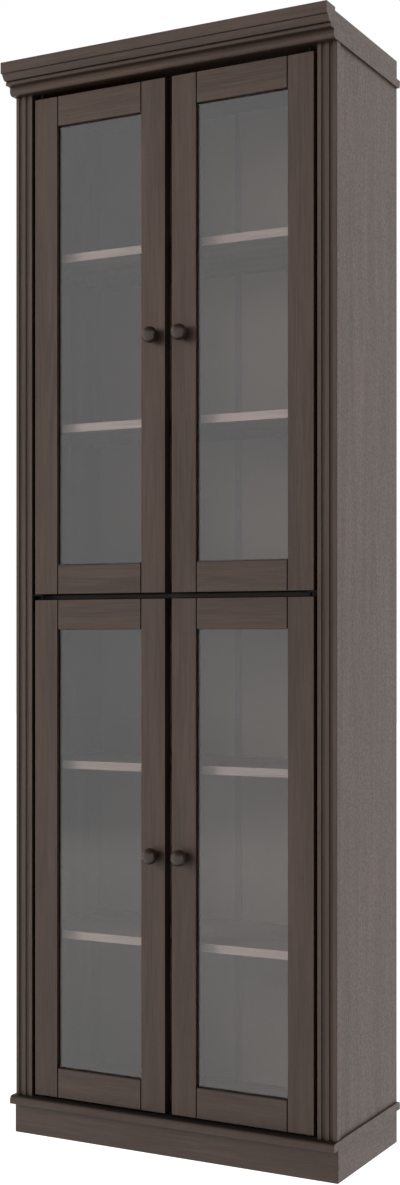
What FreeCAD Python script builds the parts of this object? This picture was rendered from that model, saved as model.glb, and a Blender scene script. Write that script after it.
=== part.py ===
import FreeCAD, Part
import math
import os
from FreeCAD import Vector

# Tall bookcase with four glass doors between fluted pilasters.
# Millimetres. X runs along the front, Y from front to back, Z up.
# The origin is on the floor, at the centre of the plan of the whole piece.

# Overall sizes
case_width = 660.0          # over the outer edges of the pilasters
case_depth = 286.0          # pilaster face to the rear edges of the side panels
total_height = 2010.0       # floor to the top of the cornice

# Board stock
side_thickness = 16.0
board_thickness = 15.0      # top, base and middle boards
shelf_thickness = 15.0
back_thickness = 3.0

# Top and base boards: one arris rounded at the front and at the rear
board_nose = 17.0           # how far the front edge stands out from the pilasters
board_rear_nose = 6.0       # how far the rear edge stands out from the side panels
board_overhang = 2.0        # how far each end stands out from the pilaster
nose_round = 7.5

# Plinth
plinth_height = 57.0
plinth_thickness = 16.0
plinth_setback = 17.0       # rear rail, in from the rear edge of the base board
plinth_chamfer = 2.0        # at both front corners

# Pilasters: equal bands, flat and fluted in turn
pilaster_width = 36.5
pilaster_thickness = 16.0
pilaster_flutes = 2
flute_depth = 3.6
pilaster_chamfer = 1.5      # along the outer front corner
side_recess = 2.5           # side panel's face, in from the pilaster's outer edge

# Crown: a cornice moulding across the front of a low open frame
cornice_height = 38.0
cornice_projection = 48.0   # the fascia, out from the pilaster face
cornice_thickness = 36.0
cornice_rise = 6.0          # the cornice, above the crown side boards
fascia_height = 20.5
fascia_step = 5.0           # from the fascia in to the top of the ovolo
ovolo_run = 8.0
ovolo_drop = 10.5
ovolo_swell = 1.0
groove_height = 1.5         # shadow line between the ovolo and the fillet
groove_depth = 2.0          # how far that groove runs in behind the fillet
fillet_step = 4.5           # from the foot of the ovolo in to the fillet
crown_thickness = 16.0

# Doors
door_thickness = 20.0
door_gap_side = 7.0         # hinge edge to pilaster
door_gap_centre = 14.0      # between a pair of doors
door_gap_top = 11.0
door_gap_middle = 11.5      # between the upper and the lower doors
door_gap_bottom = 4.5
stile_width = 49.0
rail_width = 54.5
glass_rebate = 9.0          # width of the rebate that holds the glass
lip_thickness = 6.0         # frame in front of the glass
glass_thickness = 4.0
glass_clearance = 1.0       # at each edge of the pane
bead_lip = 1.5              # how far the beads stand in past the lip in front of the glass
bead_chamfer = 2.0
tenon_length = 15.0
tenon_thickness = 6.0
tenon_shoulder = 10.0
joint_groove = 2.4          # width of the line at each stile and rail joint
joint_groove_depth = 4.0
stile_round = 1.0

# Knobs
knob_diameter = 30.0
knob_projection = 31.0
knob_inset = 23.0           # centre, in from the free edge of the door
knob_collar_radius = 7.0

# Pivots
pivot_inset = 10.5          # pivot axis, in from the hinge edge
pin_radius = 3.0
pin_in_door = 12.0
pin_in_board = 10.0
bore_depth = 14.0
bore_clearance = 0.05       # radial, pin in stile
pivot_play = 0.3            # axial, between a door and the collar that carries it
collar_radius = 6.0
bracket_thickness = 3.0
bracket_width = 12.0
leaf_thickness = 2.0
leaf_height = 50.0

# Shelves
middle_shelf_gap = 5.0      # clear space behind the doors
middle_shelf_round = 5.0    # both front arrises
shelf_gap_front = 10.0
shelf_gap_rear = 3.0
shelf_gap_end = 1.0
shelf_spacing = 320.0       # from one adjustable shelf to the next
lower_shelf_rise = 297.0    # base board to the underside of the lowest shelf
upper_shelf_rise = 302.5    # middle shelf to the underside of the first shelf above it
pin_row_inset = 37.0        # rows of holes, in from the edges of the side panel
peg_radius = 2.5
peg_sides = 8               # of the peg itself, corners against the round hole
peg_in_panel = 8.0
tab_length = 9.0            # of the flat tab that carries the shelf
tab_width = 10.0
tab_thickness = 0.9
tab_drop = 12.0             # height of the plate that lies on the side panel

# Catches
catch_length = 46.0
catch_depth = 15.0
catch_height = 14.0
catch_chamfer = 2.0
strike_width = 30.0
strike_height = 12.0
strike_thickness = 1.2
catch_gap = 0.3

# Back
back_rebate = 8.0
back_clearance = 0.5
strip_web = 1.5
strip_width = 14.0
strip_flange = 1.0

# Levels and planes that follow from the sizes above
front_y = (cornice_projection - board_rear_nose - case_depth) / 2
rear_y = front_y + case_depth
half_case = case_width / 2
half_board = half_case + board_overhang
side_x = half_case - side_recess
inner_x = side_x - side_thickness
pilaster_x = half_case - pilaster_width
pilaster_back = front_y + pilaster_thickness
board_front = front_y - board_nose
board_rear = rear_y + board_rear_nose
base_top = plinth_height + board_thickness
crown_z = total_height - cornice_height
top_under = crown_z - board_thickness
back_front = rear_y - back_thickness

door_height = (top_under - base_top - door_gap_top - door_gap_middle - door_gap_bottom) / 2
door_width = (2 * pilaster_x - 2 * door_gap_side - door_gap_centre) / 2
lower_door_z = base_top + door_gap_bottom
upper_door_z = lower_door_z + door_height + door_gap_middle
door_back = front_y + door_thickness
hinge_x = pilaster_x - door_gap_side
free_x = door_gap_centre / 2
pivot_x = hinge_x - pivot_inset
pivot_y = front_y + door_thickness / 2
knob_x = free_x + knob_inset
glass_front = front_y + lip_thickness
glass_back = glass_front + glass_thickness

middle_z = upper_door_z - door_gap_middle / 2
middle_under = middle_z - board_thickness / 2
middle_top = middle_z + board_thickness / 2
middle_front = door_back + middle_shelf_gap
shelf_front = door_back + shelf_gap_front
shelf_half = inner_x - shelf_gap_end
lower_shelf_z = base_top + lower_shelf_rise
upper_shelf_z = middle_top + upper_shelf_rise
shelf_levels = {
    "lower_shelf_1": lower_shelf_z,
    "lower_shelf_2": lower_shelf_z + shelf_spacing,
    "upper_shelf_1": upper_shelf_z,
    "upper_shelf_2": upper_shelf_z + shelf_spacing,
}
pin_rows = (pilaster_back + pin_row_inset, back_front - pin_row_inset)


def block(x0, x1, y0, y1, z0, z1):
    """A square-edged piece between two corners."""
    return Part.makeBox(x1 - x0, y1 - y0, z1 - z0, Vector(x0, y0, z0))


def rod(start, direction, radius, length):
    """A round bar, or the drill for its hole."""
    return Part.makeCylinder(radius, length, Vector(*start), Vector(*direction))


def mirrored(shape):
    """The same piece on the other side of the centre line."""
    return shape.mirror(Vector(0, 0, 0), Vector(1, 0, 0))


def line(a, b):
    return Part.makeLine(Vector(*a), Vector(*b))


def arc(a, through, b):
    return Part.Arc(Vector(*a), Vector(*through), Vector(*b)).toShape()


def extruded(edges, along):
    """A closed outline pushed along a vector."""
    return Part.Face(Part.Wire(edges)).extrude(Vector(*along))


def prism(points, along):
    """A straight-sided outline pushed along a vector."""
    corners = [Vector(*p) for p in points]
    return Part.Face(Part.makePolygon(corners + corners[:1])).extrude(Vector(*along))


def board():
    """Base board: the upper arris is rounded at front and rear."""
    x = -half_board
    z0 = plinth_height
    z1 = base_top
    r = nose_round
    bulge = r * (1 - 0.5 ** 0.5)
    front = board_front
    rear = board_rear
    edges = [
        line((x, front, z0), (x, front, z1 - r)),
        arc((x, front, z1 - r), (x, front + bulge, z1 - bulge), (x, front + r, z1)),
        line((x, front + r, z1), (x, rear - r, z1)),
        arc((x, rear - r, z1), (x, rear - bulge, z1 - bulge), (x, rear, z1 - r)),
        line((x, rear, z1 - r), (x, rear, z0)),
        line((x, rear, z0), (x, front, z0)),
    ]
    return extruded(edges, (2 * half_board, 0, 0))


def top_board():
    """The same board turned over, so that its rounded side is below."""
    over = board().mirror(Vector(0, 0, plinth_height + board_thickness / 2), Vector(0, 0, 1))
    over.translate(Vector(0, 0, crown_z - base_top))
    return over


def pilaster():
    """Left pilaster: two flutes between three flats, with a seat for the pivot bracket."""
    bands = 2 * pilaster_flutes + 1
    band = pilaster_width / bands
    z = base_top
    x = -half_case
    c = pilaster_chamfer
    edges = [
        line((x, pilaster_back, z), (x, front_y + c, z)),
        line((x, front_y + c, z), (x + c, front_y, z)),
    ]
    for i in range(bands):
        a = (max(x, c - half_case), front_y, z)
        b = (x + band, front_y, z)
        if i % 2:
            edges.append(arc(a, (x + band / 2, front_y + flute_depth, z), b))
        else:
            edges.append(line(a, b))
        x += band
    edges.append(line((x, front_y, z), (x, pilaster_back, z)))
    edges.append(line((x, pilaster_back, z), (-half_case, pilaster_back, z)))
    strip = extruded(edges, (0, 0, top_under - base_top))
    return strip.cut(bracket_leaf())


def bracket_leaf():
    """The leaf of the left pivot bracket, let into the edge of the pilaster."""
    y0 = pivot_y - bracket_width / 2
    z0 = middle_z - leaf_height / 2
    x0 = -pilaster_x - leaf_thickness
    return block(x0, -pilaster_x, y0, y0 + bracket_width, z0, z0 + leaf_height)


def pivot_bracket():
    """Left bracket: a leaf, an arm that carries the upper door, and a pin through it for both doors."""
    z1 = upper_door_z - pivot_play
    z0 = z1 - bracket_thickness
    y0 = pivot_y - bracket_width / 2
    nose = rod((-pivot_x, pivot_y, z0), (0, 0, 1), bracket_width / 2, bracket_thickness)
    arm = block(-pilaster_x, -pivot_x, y0, y0 + bracket_width, z0, z1)
    foot = lower_door_z + door_height - pin_in_door
    pin = rod((-pivot_x, pivot_y, foot), (0, 0, 1), pin_radius, upper_door_z + pin_in_door - foot)
    return bracket_leaf().fuse([arm, nose, pin]).removeSplitter()


def pivot_pins():
    """Stepped pins in the base board, which carry the doors, and plain pins in the top board."""
    pins = []
    for x in (-pivot_x, pivot_x):
        step = (x, pivot_y, base_top - pin_in_board)
        collar = rod(step, (0, 0, 1), collar_radius, lower_door_z - pivot_play - step[2])
        spigot = rod(step, (0, 0, 1), pin_radius, lower_door_z + pin_in_door - step[2])
        pins.append(collar.fuse(spigot).removeSplitter())
        tip = (x, pivot_y, upper_door_z + door_height - pin_in_door)
        pins.append(rod(tip, (0, 0, 1), pin_radius, top_under + pin_in_board - tip[2]))
    return Part.makeCompound(pins)


def side_panel():
    """Left side panel: rebated for the back and drilled for the shelf pins."""
    panel = block(-side_x, -inner_x, pilaster_back, rear_y, base_top, top_under)
    rebate = block(-inner_x - back_rebate, -inner_x, back_front, rear_y, base_top, top_under)
    drills = [rebate]
    for z in shelf_levels.values():
        for y in pin_rows:
            start = (-inner_x, y, z - tab_drop / 2)
            drills.append(rod(start, (-1, 0, 0), peg_radius, peg_in_panel))
    return panel.cut(drills)


def peg(y, z):
    """The part of a shelf support that sits in the left side panel."""
    turns = [math.tau * i / peg_sides for i in range(peg_sides)]
    corners = [(-inner_x, y + peg_radius * math.cos(t), z + peg_radius * math.sin(t)) for t in turns]
    return prism(corners, (-peg_in_panel, 0, 0))


def shelf_pins():
    """Four supports under each adjustable shelf: a peg, a plate on the panel and a flat tab."""
    supports = []
    t = tab_thickness
    x = -inner_x
    for z in shelf_levels.values():
        for y in pin_rows:
            y0 = y - tab_width / 2
            y1 = y + tab_width / 2
            plate = block(x, x + t, y0, y1, z - tab_drop, z)
            tab = block(x, x + tab_length, y0, y1, z - t, z)
            support = peg(y, z - tab_drop / 2).fuse([plate, tab]).removeSplitter()
            supports += [support, mirrored(support)]
    return Part.makeCompound(supports)


def shelf(z_under):
    """An adjustable shelf, loose on its pins."""
    z1 = z_under + shelf_thickness
    return block(-shelf_half, shelf_half, shelf_front, back_front - shelf_gap_rear, z_under, z1)


def back_panel():
    """Left half of the back, from the rebate to the joint strip."""
    x0 = -inner_x - back_rebate + back_clearance
    return block(x0, -strip_web / 2, back_front, rear_y, base_top, top_under)


def joint_strip():
    """An H section over the joint of the back, above and below the middle shelf."""
    lengths = []
    for z0, z1 in ((base_top, middle_under), (middle_top, top_under)):
        web = block(-strip_web / 2, strip_web / 2, back_front, rear_y, z0, z1)
        half = strip_width / 2
        inner = block(-half, half, back_front - strip_flange, back_front, z0, z1)
        outer = block(-half, half, rear_y, rear_y + strip_flange, z0, z1)
        lengths.append(web.fuse([inner, outer]).removeSplitter())
    return Part.makeCompound(lengths)


def plinth_front():
    """Front board of the plinth, over the ends of the side boards."""
    y1 = front_y + plinth_thickness
    c = plinth_chamfer
    outline = [
        (-half_board, y1, 0),
        (-half_board, front_y + c, 0),
        (c - half_board, front_y, 0),
        (half_board - c, front_y, 0),
        (half_board, front_y + c, 0),
        (half_board, y1, 0),
    ]
    return prism(outline, (0, 0, plinth_height))


def plinth_side():
    """Left side board of the plinth, behind the front board."""
    x1 = plinth_thickness - half_board
    y0 = front_y + plinth_thickness
    return block(-half_board, x1, y0, board_rear - plinth_setback, 0, plinth_height)


def rear_rail(thickness, z0, z1):
    """A rail between two side boards, flush with their rear ends."""
    rear = board_rear - plinth_setback
    half = half_board - thickness
    return block(-half, half, rear - thickness, rear, z0, z1)


def crown_side():
    """Left side board of the crown, behind the cornice."""
    y0 = front_y - cornice_projection + cornice_thickness
    x0 = -half_board
    y1 = board_rear - plinth_setback
    return block(x0, x0 + crown_thickness, y0, y1, crown_z, total_height - cornice_rise)


def cornice():
    """Fascia, ovolo and fillet in one moulding, cut square at both ends."""
    x = -half_board
    y_face = front_y - cornice_projection
    y_back = y_face + cornice_thickness
    y_ovolo = y_face + fascia_step
    y_ovolo_foot = y_ovolo + ovolo_run
    y_fillet = y_ovolo_foot + fillet_step
    y_groove = y_fillet + groove_depth
    z_fascia = total_height - fascia_height
    z_ovolo_foot = z_fascia - ovolo_drop
    z_fillet = z_ovolo_foot - groove_height
    chord = (ovolo_run ** 2 + ovolo_drop ** 2) ** 0.5
    y_swell = (y_ovolo + y_ovolo_foot) / 2 - ovolo_swell * ovolo_drop / chord
    z_swell = (z_fascia + z_ovolo_foot) / 2 - ovolo_swell * ovolo_run / chord
    edges = [
        line((x, y_back, crown_z), (x, y_back, total_height)),
        line((x, y_back, total_height), (x, y_face, total_height)),
        line((x, y_face, total_height), (x, y_face, z_fascia)),
        line((x, y_face, z_fascia), (x, y_ovolo, z_fascia)),
        arc((x, y_ovolo, z_fascia), (x, y_swell, z_swell), (x, y_ovolo_foot, z_ovolo_foot)),
        line((x, y_ovolo_foot, z_ovolo_foot), (x, y_groove, z_ovolo_foot)),
        line((x, y_groove, z_ovolo_foot), (x, y_groove, z_fillet)),
        line((x, y_groove, z_fillet), (x, y_fillet, z_fillet)),
        line((x, y_fillet, z_fillet), (x, y_fillet, crown_z)),
        line((x, y_fillet, crown_z), (x, y_back, crown_z)),
    ]
    return extruded(edges, (2 * half_board, 0, 0))


def eased(shape, z0, z1, x):
    """Rounds the upright front arris at this X position."""
    chosen = []
    for edge in shape.Edges:
        box = edge.BoundBox
        upright = box.ZLength > (z1 - z0) * 0.9 and box.XLength < 0.01
        if upright and abs(box.YMin - front_y) < 0.01 and abs(box.XMin - x) < 0.01:
            chosen.append(edge)
    return shape.makeFillet(stile_round, chosen)


def stile(x_outer, x_inner, z0):
    """An upright of a left door, rebated for the glass and mortised for both rails."""
    z1 = z0 + door_height
    low, high = sorted((x_outer, x_inner))
    post = block(low, high, front_y, door_back, z0, z1)
    inward = 1 if x_inner > x_outer else -1
    low, high = sorted((x_inner, x_inner - inward * glass_rebate))
    rebate = block(low, high, glass_front, door_back, z0, z1)
    cuts = [rebate]
    low, high = sorted((x_inner, x_inner - inward * tenon_length))
    for rail_z in (z0, z1 - rail_width):
        cuts.append(tenon(low, high, rail_z))
    return eased(post.cut(cuts), z0, z1, x_outer)


def tenon(x0, x1, rail_z):
    """The stub tenon of a rail, or its mortise."""
    y0 = front_y + (door_thickness - tenon_thickness) / 2
    z0 = rail_z + tenon_shoulder
    z1 = rail_z + rail_width - tenon_shoulder
    return block(x0, x1, y0, y0 + tenon_thickness, z0, z1)


def rail(x0, x1, z0, rebate_above):
    """A rail of a left door: its rear half runs on into the rebates of the stiles."""
    z1 = z0 + rail_width
    g = joint_groove
    y_groove = front_y + joint_groove_depth
    face = block(x0 + g, x1 - g, front_y, y_groove, z0, z1)
    front = block(x0, x1, y_groove, glass_front, z0, z1)
    low = z0 if rebate_above else z0 + glass_rebate
    high = z1 - glass_rebate if rebate_above else z1
    rear = block(x0 - glass_rebate, x1 + glass_rebate, glass_front, door_back, low, high)
    tongue = tenon(x0 - tenon_length, x1 + tenon_length, z0)
    return front.fuse([face, rear, tongue]).removeSplitter()


def glass_beads(x0, x1, z0, z1):
    """Four strips that hold the pane, bevelled towards it on their open side."""
    strips = []
    y0 = glass_back
    y1 = door_back
    r = glass_rebate
    w = r + bead_lip
    c = bead_chamfer
    for side, x in ((1, x0 - r), (-1, x1 + r)):
        outline = [
            (x, y0, z0 - r),
            (x + side * w, y0, z0 - r),
            (x + side * w, y1 - c, z0 - r),
            (x + side * (w - c), y1, z0 - r),
            (x, y1, z0 - r),
        ]
        strips.append(prism(outline, (0, 0, z1 - z0 + 2 * r)))
    for side, z in ((1, z0 - r), (-1, z1 + r)):
        outline = [
            (x0 + bead_lip, y0, z),
            (x0 + bead_lip, y0, z + side * w),
            (x0 + bead_lip, y1 - c, z + side * w),
            (x0 + bead_lip, y1, z + side * (w - c)),
            (x0 + bead_lip, y1, z),
        ]
        strips.append(prism(outline, (x1 - x0 - 2 * bead_lip, 0, 0)))
    return Part.makeCompound(strips)


def knob(x, z):
    """A turned knob: a ball on a short collar."""
    ball = knob_diameter / 2
    centre = knob_projection - ball
    collar = centre - (ball ** 2 - knob_collar_radius ** 2) ** 0.5
    edges = [
        line((0, 0, 0), (knob_collar_radius, 0, 0)),
        line((knob_collar_radius, 0, 0), (knob_collar_radius, -collar, 0)),
        arc((knob_collar_radius, -collar, 0), (ball, -centre, 0), (0, -knob_projection, 0)),
        line((0, -knob_projection, 0), (0, 0, 0)),
    ]
    turned = Part.Face(Part.Wire(edges)).revolve(Vector(0, 0, 0), Vector(0, 1, 0), 360)
    turned.translate(Vector(x, front_y, z))
    return turned


def strike_plate(x, z):
    """A steel plate on the back of the stile, opposite the catch."""
    half = strike_width / 2
    z0 = z - strike_height / 2
    y1 = door_back + strike_thickness
    return block(x - half, x + half, door_back, y1, z0, z0 + strike_height)


def door(z0, catch_z):
    """The pieces of a left-hand door that stands on z0."""
    z1 = z0 + door_height
    x0 = -hinge_x + stile_width
    x1 = -free_x - stile_width
    radius = pin_radius + bore_clearance
    bores = [
        rod((-pivot_x, pivot_y, z0), (0, 0, 1), radius, bore_depth),
        rod((-pivot_x, pivot_y, z1), (0, 0, -1), radius, bore_depth),
    ]
    knob_stile = stile(-free_x, x1, z0)
    gap = glass_rebate - glass_clearance
    glass_z0 = z0 + rail_width
    glass_z1 = z1 - rail_width
    pane = block(x0 - gap, x1 + gap, glass_front, glass_back, glass_z0 - gap, glass_z1 + gap)
    return {
        "hinge_stile": stile(-hinge_x, x0, z0).cut(bores),
        "knob_stile": Part.makeCompound([knob_stile, knob(-knob_x, (z0 + z1) / 2)]),
        "bottom_rail": rail(x0, x1, z0, True),
        "top_rail": rail(x0, x1, z1 - rail_width, False),
        "glass": pane,
        "glass_beads": glass_beads(x0, x1, glass_z0, glass_z1),
        "strike_plate": strike_plate(-knob_x, catch_z),
    }


def middle_shelf():
    """The fixed shelf that parts the upper case from the lower, with a rounded front edge."""
    plank = block(-inner_x, inner_x, middle_front, back_front, middle_under, middle_top)
    front = [e for e in plank.Edges if e.BoundBox.YMax < middle_front + 0.01 and e.BoundBox.XLength > 1]
    return plank.makeFillet(middle_shelf_round, front)


def catches():
    """Magnetic catches, two under and two on the middle shelf, behind the knob stiles."""
    housings = []
    y0 = door_back + strike_thickness + catch_gap
    for x in (-knob_x, knob_x):
        x0 = x - catch_length / 2
        for z0 in (middle_under - catch_height, middle_top):
            body = block(x0, x0 + catch_length, y0, y0 + catch_depth, z0, z0 + catch_height)
            ends = [e for e in body.Edges if abs(e.BoundBox.YLength - catch_depth) < 0.01]
            housings.append(body.makeChamfer(catch_chamfer, ends))
    return Part.makeCompound(housings)


def case_pieces():
    """Everything that stands still, by name."""
    pins = pivot_pins()
    panel = side_panel()
    left_pilaster = pilaster()
    left_back = back_panel()
    left_plinth = plinth_side()
    left_crown = crown_side()
    left_bracket = pivot_bracket()
    rail_top = total_height - cornice_rise
    pieces = {
        "plinth_front": plinth_front(),
        "plinth_side_left": left_plinth,
        "plinth_side_right": mirrored(left_plinth),
        "plinth_rear": rear_rail(plinth_thickness, 0, plinth_height),
        "base_board": board().cut(pins),
        "side_panel_left": panel,
        "side_panel_right": mirrored(panel),
        "middle_shelf": middle_shelf(),
        "top_board": top_board().cut(pins),
        "pilaster_left": left_pilaster,
        "pilaster_right": mirrored(left_pilaster),
        "back_panel_left": left_back,
        "back_panel_right": mirrored(left_back),
        "back_joint_strip": joint_strip(),
        "crown_side_left": left_crown,
        "crown_side_right": mirrored(left_crown),
        "crown_rear": rear_rail(crown_thickness, crown_z, rail_top),
        "cornice": cornice(),
        "shelf_pins": shelf_pins(),
        "pivot_pins": pins,
        "pivot_brackets": Part.makeCompound([left_bracket, mirrored(left_bracket)]),
        "magnetic_catches": catches(),
    }
    for name, level in shelf_levels.items():
        pieces[name] = shelf(level)
    return pieces


def door_pieces():
    """The four doors: each right-hand door mirrors the left one beside it."""
    pieces = {}
    catch_offset = catch_height / 2
    levels = {
        "lower": (lower_door_z, middle_under - catch_offset),
        "upper": (upper_door_z, middle_top + catch_offset),
    }
    for level, (z0, catch_z) in levels.items():
        for name, shape in door(z0, catch_z).items():
            pieces[f"{level}_left_{name}"] = shape
            pieces[f"{level}_right_{name}"] = mirrored(shape)
    return pieces


os.makedirs("parts", exist_ok=True)
for name, shape in {**case_pieces(), **door_pieces()}.items():
    shape.exportStep(f"parts/{name}.step")
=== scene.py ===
from math import cos, pi, radians, sin

import bmesh
import bpy
from mathutils import Matrix, Vector


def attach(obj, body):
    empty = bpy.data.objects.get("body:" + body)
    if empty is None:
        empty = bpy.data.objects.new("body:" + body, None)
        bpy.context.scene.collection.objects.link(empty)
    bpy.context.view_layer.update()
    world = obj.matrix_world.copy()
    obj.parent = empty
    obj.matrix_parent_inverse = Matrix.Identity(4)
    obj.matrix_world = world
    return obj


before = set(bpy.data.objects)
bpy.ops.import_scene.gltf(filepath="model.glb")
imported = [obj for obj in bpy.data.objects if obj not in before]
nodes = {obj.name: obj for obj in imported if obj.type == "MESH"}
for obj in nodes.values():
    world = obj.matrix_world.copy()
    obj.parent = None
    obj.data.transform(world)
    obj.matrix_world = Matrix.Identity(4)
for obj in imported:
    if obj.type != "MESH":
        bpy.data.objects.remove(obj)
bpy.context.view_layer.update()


# ---------------------------------------------------------------------------
# Plinth: four boards of 16 mm particle board, wrapped in dark coffee-brown
# wood-grain foil. The front board runs over the ends of the side boards, and
# the foil's grain runs along each board.
# ---------------------------------------------------------------------------

def linear(hex_colour):
    """An sRGB hex colour as linear RGBA."""
    channels = []
    for i in (1, 3, 5):
        c = int(hex_colour[i:i + 2], 16) / 255
        channels.append(c / 12.92 if c <= 0.04045 else ((c + 0.055) / 1.055) ** 2.4)
    return (*channels, 1.0)


def feed(tree, node, links):
    """Gives a node's inputs their values, or the sockets that feed them."""
    for key, value in links.items():
        socket = node.inputs[key]
        if isinstance(value, bpy.types.NodeSocket):
            tree.links.new(value, socket)
        else:
            socket.default_value = value


def add(tree, kind, settings=None, links=None, stops=()):
    """A node with its settings and links, and the (position, hex colour) stops of a colour ramp."""
    node = tree.nodes.new(kind)
    for name, value in (settings or {}).items():
        setattr(node, name, value)
    feed(tree, node, links or {})
    if stops:
        elements = node.color_ramp.elements
        while len(elements) < len(stops):
            elements.new(0.5)
        for element, (position, colour) in zip(elements, stops):
            element.position = position
            element.color = linear(colour)
    return node


def new_material(name):
    """A material with an empty tree, and its Principled shader wired to the output."""
    material = bpy.data.materials.new(name)
    material.use_nodes = True
    tree = material.node_tree
    tree.nodes.clear()
    shader = add(tree, "ShaderNodeBsdfPrincipled")
    add(tree, "ShaderNodeOutputMaterial", links={"Surface": shader.outputs["BSDF"]})
    return material, tree, shader


def dress(piece, material):
    """Gives a piece one material in every slot."""
    piece.data.materials.clear()
    piece.data.materials.append(material)


# A printed pore is about 0.7 mm wide and 20 mm long, and the emboss about 1 mm across: both are drawn
# about four times as large, so that they show.
PORE_WIDTH = 0.0030
PORE_LENGTH = 0.090
PORE_SHARE = 0.45           # how much of the print is pores, the rest being figure
FIGURE_WIDTH = 0.028        # broad light and dark bands
FIGURE_LENGTH = 0.420
FOIL_GRAIN = 0.0045
EMBOSS_DEPTH = 0.00035
EMBOSS = 0.35               # strength of the emboss, 0 being smooth
SATIN = (0.38, 0.58)        # roughness, from the hollows to the tops of the emboss
TONE_STOPS = (0.34, 0.50, 0.68)
COLOUR_A, COLOUR_B, COLOUR_OUT = 6, 7, 2    # a Mix node's sockets for colours


def wood_foil(name, along, tones, part=None):
    """Wood-grain foil: brown print with pores and a broad figure, under a satin embossed lacquer.

    tones are its dark, middle and light colour. part is where other tones take over, for another finish
    or for painted shade, and those tones, the roughness and the strength of emboss there.
    """
    material, tree, shader = new_material(name)
    place = add(tree, "ShaderNodeTexCoord").outputs["Object"]

    def stretched(width, length):
        scale = [1 / width] * 3
        scale["XYZ".index(along)] = 1 / length
        return add(tree, "ShaderNodeMapping", links={"Vector": place, "Scale": scale}).outputs["Vector"]

    pores = add(tree, "ShaderNodeTexNoise", links={
        "Vector": stretched(PORE_WIDTH, PORE_LENGTH), "Scale": 1.0, "Detail": 3.0, "Roughness": 0.6})
    figure = add(tree, "ShaderNodeTexNoise", links={
        "Vector": stretched(FIGURE_WIDTH, FIGURE_LENGTH), "Scale": 1.0, "Detail": 4.0, "Roughness": 0.55,
        "Distortion": 0.6})
    emboss = add(tree, "ShaderNodeTexNoise", links={
        "Vector": place, "Scale": 1 / FOIL_GRAIN, "Detail": 2.0, "Roughness": 0.5})
    print_tone = add(tree, "ShaderNodeMix", links={
        "Factor": PORE_SHARE, "A": figure.outputs["Fac"], "B": pores.outputs["Fac"]}).outputs["Result"]
    colour = add(tree, "ShaderNodeValToRGB", links={"Fac": print_tone},
                 stops=list(zip(TONE_STOPS, tones))).outputs["Color"]
    roughness = add(tree, "ShaderNodeMapRange", links={
        "Value": emboss.outputs["Fac"], "From Min": 0.3, "From Max": 0.7,
        "To Min": SATIN[0], "To Max": SATIN[1]}).outputs["Result"]
    strength = EMBOSS
    if part:
        where, part_tones, part_roughness, part_emboss = part
        inside = where(tree)
        part_colour = add(tree, "ShaderNodeValToRGB", links={"Fac": print_tone},
                          stops=list(zip(TONE_STOPS, part_tones))).outputs["Color"]
        colour = add(tree, "ShaderNodeMix", {"data_type": "RGBA"}, {
            "Factor": inside, COLOUR_A: colour, COLOUR_B: part_colour}).outputs[COLOUR_OUT]
        roughness = add(tree, "ShaderNodeMix", links={
            "Factor": inside, "A": roughness, "B": part_roughness}).outputs["Result"]
        strength = add(tree, "ShaderNodeMix", links={
            "Factor": inside, "A": EMBOSS, "B": part_emboss}).outputs["Result"]
    # The relief is made of the pores and the emboss in equal parts.
    relief = add(tree, "ShaderNodeMix", links={
        "Factor": 0.5, "A": pores.outputs["Fac"], "B": emboss.outputs["Fac"]}).outputs["Result"]
    bump = add(tree, "ShaderNodeBump", links={
        "Height": relief, "Strength": strength, "Distance": EMBOSS_DEPTH})
    feed(tree, shader, {"Base Color": colour, "Roughness": roughness, "Normal": bump.outputs["Normal"],
                        "Specular IOR Level": 0.46})
    return material


# To the eye: a brown that is never quite flat, streaked along the grain, with an even satin sheen.
BROWN = ("#2f221b", "#3d2f27", "#4c3c34")
foil_across = wood_foil("wood_grain_foil_across", "X", BROWN)
foil_upright = wood_foil("wood_grain_foil_upright", "Z", BROWN)
foil_deep = wood_foil("wood_grain_foil_front_to_back", "Y", BROWN)

for name in ("plinth_front", "plinth_rear"):
    dress(nodes[name], foil_across)
for name in ("plinth_side_left", "plinth_side_right"):
    dress(nodes[name], foil_deep)


# ---------------------------------------------------------------------------
# Base board, middle shelf and top board: particle board 15 mm thick, with the
# same foil over their rounded edges. Shade is painted near black on the ledge
# under the doors and along the front of the middle shelf, in the gap between the doors.
# ---------------------------------------------------------------------------

def corners(name):
    """Lowest and highest corner of a CAD node, in metres."""
    points = [v.co for v in nodes[name].data.vertices]
    low = Vector([min(p[i] for p in points) for i in range(3)])
    high = Vector([max(p[i] for p in points) for i in range(3)])
    return low, high


def side_of(tree, coordinate, axis, limit, operation):
    """1 where a coordinate is past a plane, else 0; operation is LESS_THAN or GREATER_THAN."""
    place = add(tree, "ShaderNodeTexCoord").outputs[coordinate]
    parts = add(tree, "ShaderNodeSeparateXYZ", links={"Vector": place})
    test = add(tree, "ShaderNodeMath", {"operation": operation}, {0: parts.outputs[axis], 1: limit})
    return test.outputs["Value"]


def in_front_of(plane):
    """The part of a piece in front of a plane."""
    return lambda tree: side_of(tree, "Object", "Y", plane, "LESS_THAN")


def top_edge(piece, depth):
    """The top edge of a piece, or of any piece of its height, down to this depth."""
    low, high = corners(piece)
    limit = 1 - depth / (high.z - low.z)
    return lambda tree: side_of(tree, "Generated", "Z", limit, "GREATER_THAN")


def both(first, second):
    """What two parts of a piece share."""
    def where(tree):
        product = add(tree, "ShaderNodeMath", {"operation": "MULTIPLY"}, {0: first(tree), 1: second(tree)})
        return product.outputs["Value"]
    return where


# Painted shade: near black tones laid where the gaps round the doors and under the panes fall in shade.
PAINTED_SHADE_TONES = ("#0d0806", "#130d0a", "#1a120e")
PAINTED_SHADE_ROUGHNESS = 0.6
LEDGE_DEPTH = 0.0014        # down from the top of the base board
EDGE_DEPTH = 0.006          # back from the front of the middle shelf
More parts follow.
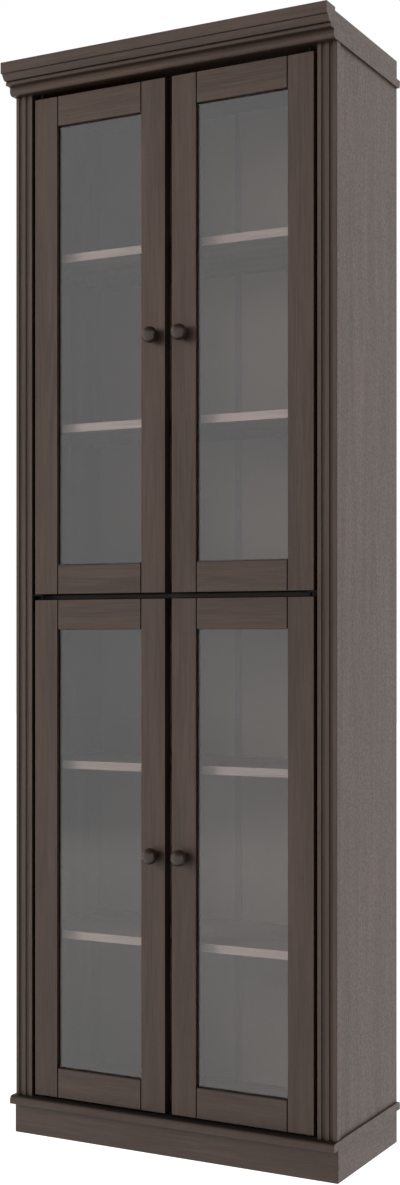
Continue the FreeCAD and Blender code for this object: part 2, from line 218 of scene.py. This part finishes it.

# To the eye: painted shade, dark and matt in both places, so that the gaps round the doors read as dark
# lines.
door_rear = corners("lower_left_hinge_stile")[1].y
ledge = both(top_edge("base_board", LEDGE_DEPTH), in_front_of(door_rear))
foil_painted_shade_ledge = wood_foil("wood_grain_foil_dark_ledge", "X", BROWN,
                            (ledge, PAINTED_SHADE_TONES, PAINTED_SHADE_ROUGHNESS, EMBOSS))
# Painted shade along the front of the middle shelf, where it lies in the gap between the doors.
front_edge = in_front_of(corners("middle_shelf")[0].y + EDGE_DEPTH)
foil_painted_shade_edge = wood_foil("wood_grain_foil_dark_edge", "X", BROWN,
                           (front_edge, PAINTED_SHADE_TONES, PAINTED_SHADE_ROUGHNESS, EMBOSS))

dress(nodes["base_board"], foil_painted_shade_ledge)
dress(nodes["middle_shelf"], foil_painted_shade_edge)
dress(nodes["top_board"], foil_across)


# ---------------------------------------------------------------------------
# Side panels and pilasters: boards 16 mm thick, with the grain upright. The
# flutes of the pilasters are machined first and the foil is wrapped into them.
# ---------------------------------------------------------------------------

for name in ("side_panel_left", "side_panel_right", "pilaster_left", "pilaster_right"):
    dress(nodes[name], foil_upright)


# ---------------------------------------------------------------------------
# Back: two sheets of 3 mm hardboard, printed brown on the inside and raw fibre
# on the outside, let into the rebates of the side panels and joined by an
# extruded PVC strip of H section.
# ---------------------------------------------------------------------------

FIBRE_TUFT = 0.00625        # real tufts are about 1 mm: drawn six times as coarse, so that they show
PRESS_SHADE = 0.200         # slow light and dark patches of a pressed sheet
SHADE_SHARE = 0.12          # how much of the raw face is patches, the rest being tufts
RAW_SKIN = 0.0005           # the raw face reaches this far in from the rear plane
PRINTED_ROUGHNESS = 0.5
RAW_ROUGHNESS = 0.85
rear_plane = corners("back_panel_left")[1].y

# To the eye: dull and even brown inside, and outside a warm tan with no sheen, mottled by its fibres.
hardboard, tree, shader = new_material("hardboard_printed_inside")
place = add(tree, "ShaderNodeTexCoord").outputs["Object"]
tufts = add(tree, "ShaderNodeTexNoise", links={
    "Vector": place, "Scale": 1 / FIBRE_TUFT, "Detail": 6.0, "Roughness": 0.7})
patches = add(tree, "ShaderNodeTexNoise", links={"Vector": place, "Scale": 1 / PRESS_SHADE, "Detail": 2.0})
fibre = add(tree, "ShaderNodeMix", links={
    "Factor": SHADE_SHARE, "A": tufts.outputs["Fac"], "B": patches.outputs["Fac"]})
raw = add(tree, "ShaderNodeValToRGB", links={"Fac": fibre.outputs["Result"]},
          stops=((0.36, "#7f6247"), (0.50, "#8e6f51"), (0.66, "#9b7d5e")))
printed = add(tree, "ShaderNodeValToRGB", links={"Fac": patches.outputs["Fac"]},
              stops=((0.3, "#493b33"), (0.7, "#534439")))
outside = side_of(tree, "Object", "Y", rear_plane - RAW_SKIN, "GREATER_THAN")
sheet_colour = add(tree, "ShaderNodeMix", {"data_type": "RGBA"}, {
    "Factor": outside, COLOUR_A: printed.outputs["Color"], COLOUR_B: raw.outputs["Color"]})
sheet_roughness = add(tree, "ShaderNodeMix", links={
    "Factor": outside, "A": PRINTED_ROUGHNESS, "B": RAW_ROUGHNESS})
feed(tree, shader, {"Base Color": sheet_colour.outputs[COLOUR_OUT],
                    "Roughness": sheet_roughness.outputs["Result"]})
for name in ("back_panel_left", "back_panel_right"):
    dress(nodes[name], hardboard)


def mottled(tree, shader, size, detail, dark, light):
    """Colours a shader with an even mottle of this size between two close tones, and returns the mottle."""
    place = add(tree, "ShaderNodeTexCoord").outputs["Object"]
    mottle = add(tree, "ShaderNodeTexNoise", links={"Vector": place, "Scale": 1 / size, "Detail": detail})
    colour = add(tree, "ShaderNodeValToRGB", links={"Fac": mottle.outputs["Fac"]},
                 stops=((0.3, dark), (0.7, light)))
    feed(tree, shader, {"Base Color": colour.outputs["Color"]})
    return mottle.outputs["Fac"]


# To the eye: a plain dark brown line with a soft extruded sheen.
PVC_SPECKLE = 0.0025
strip_pvc, tree, shader = new_material("extruded_pvc_dark_brown")
mottled(tree, shader, PVC_SPECKLE, 2.0, "#2f2623", "#3a302c")
feed(tree, shader, {"Roughness": 0.5})
dress(nodes["back_joint_strip"], strip_pvc)


# ---------------------------------------------------------------------------
# Back nails: flat-headed nails of plated steel through the hardboard, in a row
# along each side panel, along the middle shelf, and along the lower and the
# upper edge of the sheets.
# ---------------------------------------------------------------------------

# To the eye: small cool bright points, a little worn.
PLATE_WEAR = 0.010 / 9      # nine spots of wear to 10 mm
nickel_plate, tree, shader = new_material("nickel_plated_steel")
wear = mottled(tree, shader, PLATE_WEAR, 3.0, "#a9a7a2", "#c2c0bb")
polish = add(tree, "ShaderNodeMapRange", links={"Value": wear, "To Min": 0.22, "To Max": 0.38})
feed(tree, shader, {"Roughness": polish.outputs["Result"], "Metallic": 1.0})
NICKEL = (nickel_plate, "strike_steel")

NAIL_RADIUS = 0.0035
NAIL_TAPER = 0.85           # the top of a head, as a share of its foot
NAIL_RISE = 0.0005
NAIL_SIDES = 12
NAIL_INSET = 0.0045         # in from the edge of the hardboard
NAIL_SPACING = 0.125


def spaced(start, end):
    """Even places from start to end, about a nail spacing apart."""
    count = max(round((end - start) / NAIL_SPACING), 1)
    return [start + (end - start) * i / count for i in range(count + 1)]


sheet_low = corners("back_panel_left")[0]
sheet_high = corners("back_panel_right")[1]
middle_low, middle_high = corners("middle_shelf")
left, right = sheet_low.x + NAIL_INSET, sheet_high.x - NAIL_INSET
bottom, top = sheet_low.z + NAIL_INSET, sheet_high.z - NAIL_INSET
middle = (middle_low.z + middle_high.z) / 2
half_row = spaced(left, -NAIL_SPACING / 4)[1:]
nail_places = [(x, z) for x in (left, right) for z in spaced(bottom, top)]
nail_places += [(side * x, z) for side in (1, -1) for z in (bottom, middle, top) for x in half_row]

heads = bmesh.new()
for x, z in nail_places:
    stand = Matrix.Translation((x, rear_plane + NAIL_RISE / 2, z)) @ Matrix.Rotation(radians(-90), 4, "X")
    bmesh.ops.create_cone(heads, cap_ends=True, segments=NAIL_SIDES, radius1=NAIL_RADIUS,
                          radius2=NAIL_RADIUS * NAIL_TAPER, depth=NAIL_RISE, matrix=stand)
nail_mesh = bpy.data.meshes.new("back_nails")
heads.to_mesh(nail_mesh)
heads.free()
back_nails = bpy.data.objects.new("back_nails", nail_mesh)
bpy.context.collection.objects.link(back_nails)
dress(back_nails, nickel_plate)
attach(back_nails, "case")


# ---------------------------------------------------------------------------
# Crown: a cornice moulding milled from MDF and wrapped in foil, cut flat at
# both ends, in front of an open frame of three boards.
# ---------------------------------------------------------------------------

for name in ("cornice", "crown_rear"):
    dress(nodes[name], foil_across)
for name in ("crown_side_left", "crown_side_right"):
    dress(nodes[name], foil_deep)


# ---------------------------------------------------------------------------
# Adjustable shelves: 15 mm board in a brown foil, with a paler band along the
# front edge, loose on bronze-lacquered steel supports, four to a shelf.
# ---------------------------------------------------------------------------

# To the eye: brown boards that end in a thin pale line.
SHELF_BROWN = ("#463830", "#55463e", "#64554c")
BAND_BROWN = ("#6b5c56", "#7a6b65", "#887973")
BAND_ROUGHNESS = 0.48
BAND_THICKNESS = 0.0005
edge_band = in_front_of(corners("lower_shelf_1")[0].y + BAND_THICKNESS)
foil_shelf = wood_foil("wood_grain_foil_shelf", "X", SHELF_BROWN,
                       (edge_band, BAND_BROWN, BAND_ROUGHNESS, EMBOSS))
for name in ("lower_shelf_1", "lower_shelf_2", "upper_shelf_1", "upper_shelf_2"):
    dress(nodes[name], foil_shelf)

# To the eye: dark warm metal with a soft highlight, hardly seen under a shelf.
LACQUER_MOTTLE = 0.010 / 7  # seven clouds to 10 mm
bronze_lacquer, tree, shader = new_material("bronze_lacquered_steel")
mottled(tree, shader, LACQUER_MOTTLE, 3.0, "#2c221b", "#3a2e26")
feed(tree, shader, {"Roughness": 0.45})
dress(nodes["shelf_pins"], bronze_lacquer)


# ---------------------------------------------------------------------------
# Pivots: turned steel pins in the base and top boards, and between the doors a
# bracket let into the inner edge of each pilaster and held by two screws. All
# of them have a black oxide finish.
# ---------------------------------------------------------------------------

# To the eye: near black, with almost no highlight.
OXIDE_BLOOM = 0.010 / 6     # six clouds to 10 mm
black_oxide, tree, shader = new_material("black_oxide_steel")
mottled(tree, shader, OXIDE_BLOOM, 3.0, "#0f0e0d", "#1a1816")
feed(tree, shader, {"Roughness": 0.7, "Specular IOR Level": 0.15})
for name in ("pivot_pins", "pivot_brackets"):
    dress(nodes[name], black_oxide)
BLACK = (black_oxide, "pivot_steel")

SCREW_SIDES = 32
DOME = ((1.0, 0.0), (0.97, 0.55), (0.74, 0.95))     # rings of a head, as shares of its radius and rise
RECESS_ARM = 0.55           # half length and half width of the cross recess, as shares of the radius
RECESS_HALF_WIDTH = 0.14
RECESS_FLOOR = (0.8, 0.35)  # its floor, as shares of the size of its mouth and of the rise


def cross_reach(turn, arm, half_width):
    """Distance from the centre of a cross recess to its edge in this direction."""
    c = max(abs(cos(turn)), 1e-6)
    s = max(abs(sin(turn)), 1e-6)
    return max(min(arm / c, half_width / s), min(half_width / c, arm / s))


def screw_head(name, place, out, size, finish, body="case"):
    """A cross-recess screw head of this radius and rise, which stands on a surface and faces along out."""
    radius, rise = size
    material, slot = finish
    turns = [2 * pi * i / SCREW_SIDES for i in range(SCREW_SIDES)]
    reach = [cross_reach(t, radius * RECESS_ARM, radius * RECESS_HALF_WIDTH) for t in turns]
    rings = [[(radius * across, rise * up)] * SCREW_SIDES for across, up in DOME]
    rings.append([(r, rise) for r in reach])
    rings.append([(r * RECESS_FLOOR[0], rise * RECESS_FLOOR[1]) for r in reach])
    mesh = bmesh.new()
    rows = [[mesh.verts.new((r * cos(t), r * sin(t), z)) for (r, z), t in zip(ring, turns)] for ring in rings]
    for low, high in zip(rows, rows[1:]):
        for i in range(SCREW_SIDES):
            j = (i + 1) % SCREW_SIDES
            mesh.faces.new((low[i], low[j], high[j], high[i]))
    mesh.faces.new(rows[-1])
    mesh.faces.new(rows[0][::-1])
    data = bpy.data.meshes.new(name)
    mesh.to_mesh(data)
    mesh.free()
    head = bpy.data.objects.new(name, data)
    head.location = place
    head.rotation_euler = Vector(out).to_track_quat("Z", "Y").to_euler()
    bpy.context.collection.objects.link(head)
    dress(head, material)
    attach(head, body)


BRACKET_SCREW = (0.0030, 0.0008)    # radius and rise of the head
BRACKET_SCREW_SPREAD = 0.016        # either side of the middle of a bracket's leaf
leaf_face = corners("pilaster_right")[0].x
pin_low, pin_high = corners("pivot_pins")
pivot_plane = (pin_low.y + pin_high.y) / 2
arm_level = (corners("upper_left_hinge_stile")[0].z + corners("lower_left_hinge_stile")[1].z) / 2
for side, label in ((-1, "left"), (1, "right")):
    for step, where in ((-1, "lower"), (1, "upper")):
        screw_head(f"{label}_bracket_screw_{where}",
                   (side * leaf_face, pivot_plane, arm_level + step * BRACKET_SCREW_SPREAD),
                   (-side, 0, 0), BRACKET_SCREW, BLACK)


# ---------------------------------------------------------------------------
# Catches: moulded ABS housings round a magnet, two on and two under the middle
# shelf, each held to it by two screws.
# ---------------------------------------------------------------------------

# To the eye: a dark brown that the mould's fine texture keeps from shining.
MOULD_TEXTURE = 0.010 / 15  # fifteen grains to 10 mm
abs_brown, tree, shader = new_material("moulded_abs_dark_brown")
texture = mottled(tree, shader, MOULD_TEXTURE, 2.0, "#33281f", "#3d3129")
grain = add(tree, "ShaderNodeBump", links={"Height": texture, "Strength": 0.3, "Distance": 0.0001})
feed(tree, shader, {"Normal": grain.outputs["Normal"], "Roughness": 0.45})
dress(nodes["magnetic_catches"], abs_brown)

CATCH_SCREW = (0.0030, 0.0012)
CATCH_SCREW_SPREAD = 0.017          # either side of the middle of a catch
catch_low, catch_high = corners("magnetic_catches")
catch_plane = (catch_low.y + catch_high.y) / 2
for label in ("left", "right"):
    plate_low, plate_high = corners(f"upper_{label}_strike_plate")
    for face, out, where in ((catch_low.z, -1, "lower"), (catch_high.z, 1, "upper")):
        for number, step in ((1, -1), (2, 1)):
            x = (plate_low.x + plate_high.x) / 2 + step * CATCH_SCREW_SPREAD
            screw_head(f"{label}_{where}_catch_screw_{number}",
                       (x, catch_plane, face), (0, 0, out), CATCH_SCREW, NICKEL)


# ---------------------------------------------------------------------------
# Door frames: MDF stiles and rails wrapped in the same foil, joined by stub
# tenons with a narrow groove at each joint. Beads hold the glass from behind,
# and a turned knob in matching lacquer is screwed on from the back.
# ---------------------------------------------------------------------------

DOORS = ("lower_left", "lower_right", "upper_left", "upper_right")

# To the eye: the knob is smoother than the foil of its stile, so that its ball takes a rounded light.
KNOB_BROWN = ("#31241d", "#34261f", "#372921")
KNOB_ROUGHNESS = 0.30
KNOB_START = 0.0003         # in front of the door's face
SMOOTH = 0.0
door_front = corners("lower_left_hinge_stile")[0].y
foil_and_knob = wood_foil("wood_grain_foil_and_knob_lacquer", "Z", BROWN,
                          (in_front_of(door_front - KNOB_START), KNOB_BROWN, KNOB_ROUGHNESS, SMOOTH))

# To the eye: painted shade, a thin dark line under each pane, along the top of the rail.
ARRIS_DEPTH = 0.0018
rail_arris = top_edge("upper_left_bottom_rail", ARRIS_DEPTH)
foil_painted_shade_arris = wood_foil("wood_grain_foil_dark_arris", "X", BROWN,
                            (rail_arris, PAINTED_SHADE_TONES, PAINTED_SHADE_ROUGHNESS, SMOOTH))

for door in DOORS:
    dress(nodes[f"{door}_hinge_stile"], foil_upright)
    dress(nodes[f"{door}_knob_stile"], foil_and_knob)
    dress(nodes[f"{door}_top_rail"], foil_across)
    dress(nodes[f"{door}_bottom_rail"], foil_painted_shade_arris)
    dress(nodes[f"{door}_glass_beads"], foil_upright)
    dress(nodes[f"{door}_strike_plate"], nickel_plate)

KNOB_SCREW = (0.0042, 0.0020)
STRIKE_SCREW = (0.0026, 0.0001)     # countersunk, all but flush with the plate
STRIKE_SCREW_SPREAD = 0.009         # either side of the middle of a plate
for door in DOORS:
    post_low, post_high = corners(f"{door}_hinge_stile")
    plate_low, plate_high = corners(f"{door}_strike_plate")
    x = (plate_low.x + plate_high.x) / 2
    screw_head(f"{door}_knob_screw", (x, post_high.y, (post_low.z + post_high.z) / 2),
               (0, 1, 0), KNOB_SCREW, NICKEL, f"{door}_door")
    for number, step in ((1, -1), (2, 1)):
        screw_head(f"{door}_strike_screw_{number}",
                   (x + step * STRIKE_SCREW_SPREAD, plate_high.y, (plate_low.z + plate_high.z) / 2),
                   (0, 1, 0), STRIKE_SCREW, NICKEL, f"{door}_door")


# ---------------------------------------------------------------------------
# Glass: panes of clear 4 mm float glass, laid in the rebates of the door frames
# from behind.
# ---------------------------------------------------------------------------

# To the eye: both faces mirror the white room, which lays a neutral grey veil over the dark inside.
FLOAT_CLOUD = 0.250         # slow changes of tint across a pane
float_glass, tree, shader = new_material("clear_float_glass")
mottled(tree, shader, FLOAT_CLOUD, 1.0, "#f6f7f8", "#fbfbfc")
feed(tree, shader, {"Roughness": 0.0, "IOR": 1.52, "Transmission Weight": 1.0})
surface = shader.outputs["BSDF"].links[0].to_node
clear = add(tree, "ShaderNodeBsdfTransparent", links={"Color": linear("#f4f5f5")})
shadow_ray = add(tree, "ShaderNodeLightPath").outputs["Is Shadow Ray"]
# The light of the lamps goes straight through to the shelves.
pane = add(tree, "ShaderNodeMixShader", links={
    0: shadow_ray, 1: shader.outputs["BSDF"], 2: clear.outputs["BSDF"]})
feed(tree, surface, {"Surface": pane.outputs["Shader"]})
for door in DOORS:
    dress(nodes[f"{door}_glass"], float_glass)


# ---------------------------------------------------------------------------
# Studio: a pale floor, a large soft light from the upper left in front, a
# second one beyond the right side, a white room, and the camera.
# ---------------------------------------------------------------------------

def soft_light(name, location, target, size, power):
    """A square area light that faces a point."""
    light = bpy.data.lights.new(name, "AREA")
    light.shape = "SQUARE"
    light.size = size
    light.energy = power
    lamp = bpy.data.objects.new(name, light)
    lamp.location = location
    lamp.rotation_euler = (Vector(target) - Vector(location)).to_track_quat("-Z", "Y").to_euler()
    lamp.visible_glossy = False
    lamp.visible_transmission = False
    bpy.context.collection.objects.link(lamp)


soft_light("key_light", location=(-3.4, -3.5, 2.3), target=(0, 0, 1.0), size=1.8, power=236)
soft_light("side_light", location=(6.0, 1.0, 1.4), target=(0.3, 0, 1.0), size=2.6, power=240)

FLOOR_REACH = 15            # from its middle to each edge
floor_grid = bmesh.new()
bmesh.ops.create_grid(floor_grid, x_segments=1, y_segments=1, size=FLOOR_REACH)
floor_mesh = bpy.data.meshes.new("floor")
floor_grid.to_mesh(floor_mesh)
floor_grid.free()
floor = bpy.data.objects.new("floor", floor_mesh)
bpy.context.collection.objects.link(floor)


def seen_directly(tree):
    """1 where the eye, a mirror or a pane looks straight at a surface, else 0."""
    path = add(tree, "ShaderNodeLightPath")
    either = add(tree, "ShaderNodeMath", {"operation": "MAXIMUM"}, {
        0: path.outputs["Is Camera Ray"], 1: path.outputs["Is Glossy Ray"]})
    seen = add(tree, "ShaderNodeMath", {"operation": "MAXIMUM"}, {
        0: either.outputs["Value"], 1: path.outputs["Is Transmission Ray"]})
    return seen.outputs["Value"]


# To the eye: a white floor that keeps the shadows, but throws little light back on the case.
FLOOR_GLOW = 1.18           # where it is seen directly, 1 being white
floor_paint, tree, shader = new_material("floor_paint_white")
glow = add(tree, "ShaderNodeMath", {"operation": "MULTIPLY"}, {0: seen_directly(tree), 1: FLOOR_GLOW})
feed(tree, shader, {"Base Color": linear("#7c7670"), "Roughness": 0.9,
                    "Emission Color": linear("#ffffff"), "Emission Strength": glow.outputs["Value"]})
dress(floor, floor_paint)

# The room is bright at eye height and falls off above and below. What it sheds on a surface falls off
# sooner than what glass and gloss mirror, and the camera sees plain white.
world = bpy.data.worlds.new("studio")
bpy.context.scene.world = world
world.use_nodes = True
tree = world.node_tree
tree.nodes.clear()
direction = add(tree, "ShaderNodeSeparateXYZ", links={
    "Vector": add(tree, "ShaderNodeTexCoord").outputs["Generated"]})
slope = add(tree, "ShaderNodeMath", {"operation": "ABSOLUTE"}, {0: direction.outputs["Z"]})
shed = add(tree, "ShaderNodeMapRange", {"interpolation_type": "SMOOTHSTEP"}, {
    "Value": slope.outputs["Value"], "From Min": 0.0, "From Max": 0.38, "To Min": 0.66, "To Max": 0.01})
mirrored = add(tree, "ShaderNodeMapRange", {"interpolation_type": "SMOOTHSTEP"}, {
    "Value": slope.outputs["Value"], "From Min": 0.45, "From Max": 0.85, "To Min": 1.275, "To Max": 0.15})
room = add(tree, "ShaderNodeMix", links={
    "Factor": seen_directly(tree), "A": shed.outputs["Result"], "B": mirrored.outputs["Result"]})
brightness = add(tree, "ShaderNodeMix", links={
    "Factor": add(tree, "ShaderNodeLightPath").outputs["Is Camera Ray"],
    "A": room.outputs["Result"], "B": 1.0})
sky = add(tree, "ShaderNodeBackground", links={
    "Color": linear("#ffffff"), "Strength": brightness.outputs["Result"]})
add(tree, "ShaderNodeOutputWorld", links={"Surface": sky.outputs["Background"]})

CAMERA_PLACE = (1.479, -2.7885, 0.9315)
CAMERA_TURN = 27.94         # degrees to the left of straight on
FOCAL_LENGTH = 51.375       # millimetres
LENS_SHIFT = 0.0398         # up, with the camera level, so that uprights look upright
lens = bpy.data.cameras.new("camera")
lens.lens = FOCAL_LENGTH
lens.shift_y = LENS_SHIFT
camera = bpy.data.objects.new("camera", lens)
camera.location = CAMERA_PLACE
camera.rotation_euler = (radians(90), 0, radians(CAMERA_TURN))
bpy.context.collection.objects.link(camera)
bpy.context.scene.camera = camera
bpy.context.scene.view_settings.view_transform = "Standard"
